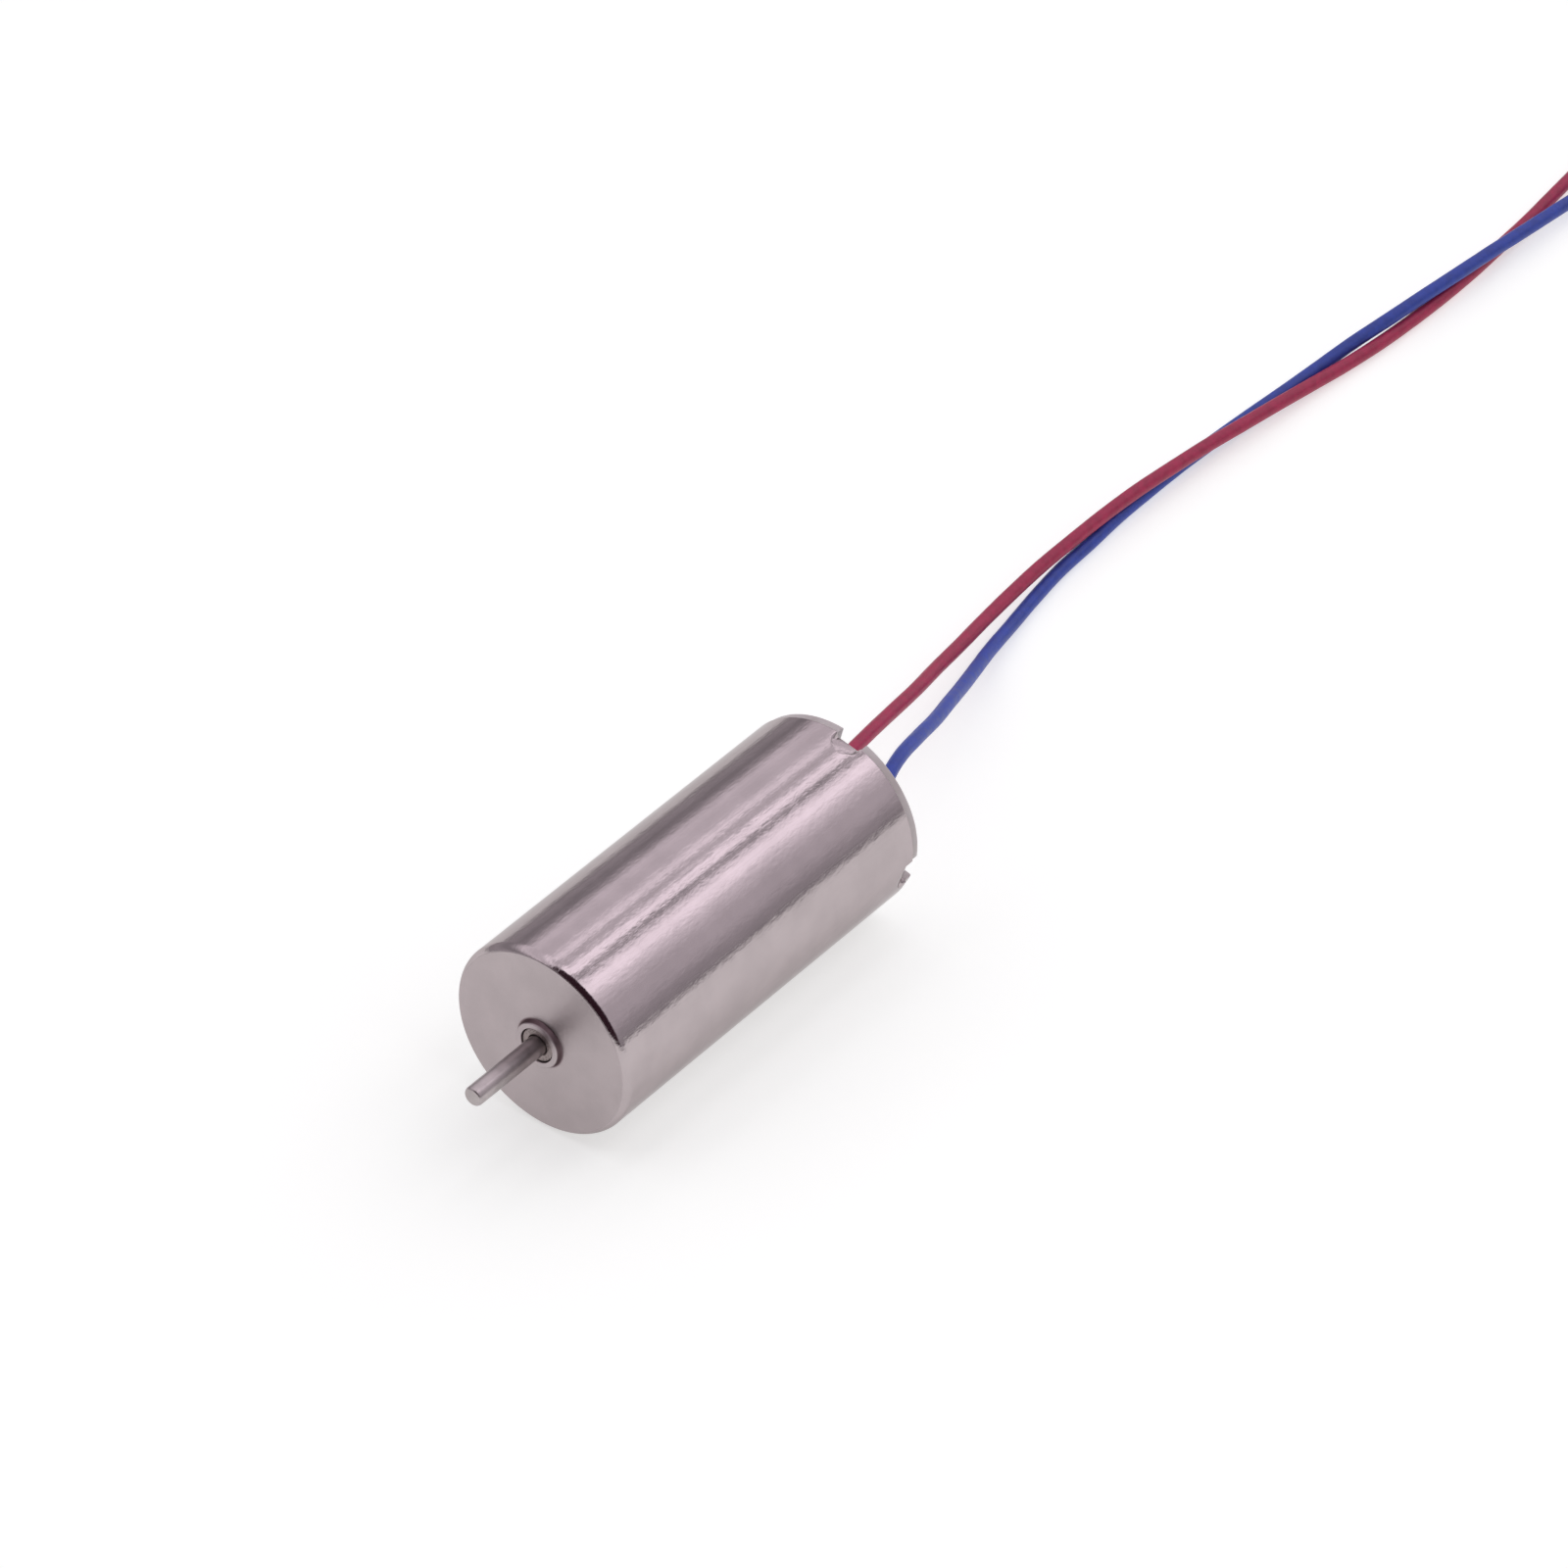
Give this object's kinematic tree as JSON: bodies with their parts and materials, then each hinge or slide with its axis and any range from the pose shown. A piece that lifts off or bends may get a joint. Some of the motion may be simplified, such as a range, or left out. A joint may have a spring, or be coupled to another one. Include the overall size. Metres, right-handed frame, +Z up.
{
  "type": "coreless dc motor",
  "caption": "Small coreless brushed DC motor in a round drawn metal can, with a plain output shaft, a plastic end cap and two thin insulated leads.",
  "frame": {"origin": "centre of the can's flat front face, on the shaft axis", "axes": "-Y along the output shaft, +Y towards the end cap and leads, +Z up, with the motor lying on its side"},
  "size_m": [0.0118, 0.1018, 0.01],
  "materials": {
    "can_nickel": "satin",
    "shaft_steel": "polished",
    "bush_bronze": "matte",
    "contact_brass": "satin",
    "contact_silver": "polished",
    "magnet_nickel": "satin",
    "winding_copper": "satin",
    "cap_plastic": "matte",
    "rotor_plastic": "matte",
    "washer_film": "satin",
    "tinned_metal": "satin",
    "insulation_red": "satin",
    "insulation_blue": "satin"
  },
  "bodies": {
    "stator": {"can_housing": "can_nickel", "front_bearing": "bush_bronze", "magnet_carrier": "contact_brass", "magnet": "magnet_nickel", "end_cap": "cap_plastic", "rear_bearing": "bush_bronze", "terminal_blue": "contact_brass", "brush_blue": "contact_silver", "solder_joint_blue": "tinned_metal", "lead_blue": "insulation_blue", "lead_tip_blue": "tinned_metal", "terminal_red": "contact_brass", "brush_red": "contact_silver", "solder_joint_red": "tinned_metal", "lead_red": "insulation_red", "lead_tip_red": "tinned_metal"},
    "rotor": {"shaft": "shaft_steel", "coil_winding": "winding_copper", "rotor_hub": "rotor_plastic", "commutator_core": "rotor_plastic", "front_thrust_washer": "washer_film", "rear_thrust_washer": "washer_film", "commutator_segment_1": "contact_silver", "commutator_segment_2": "contact_silver", "commutator_segment_3": "contact_silver", "coil_tap_1": "winding_copper", "coil_tap_2": "winding_copper", "coil_tap_3": "winding_copper"}
  },
  "joints": [
    {"name": "rotor_spin", "type": "hinge", "parent": "stator", "child": "rotor", "pos_m": [0, 0, 0], "axis": [0, -1, 0], "continuous": true}
  ]
}
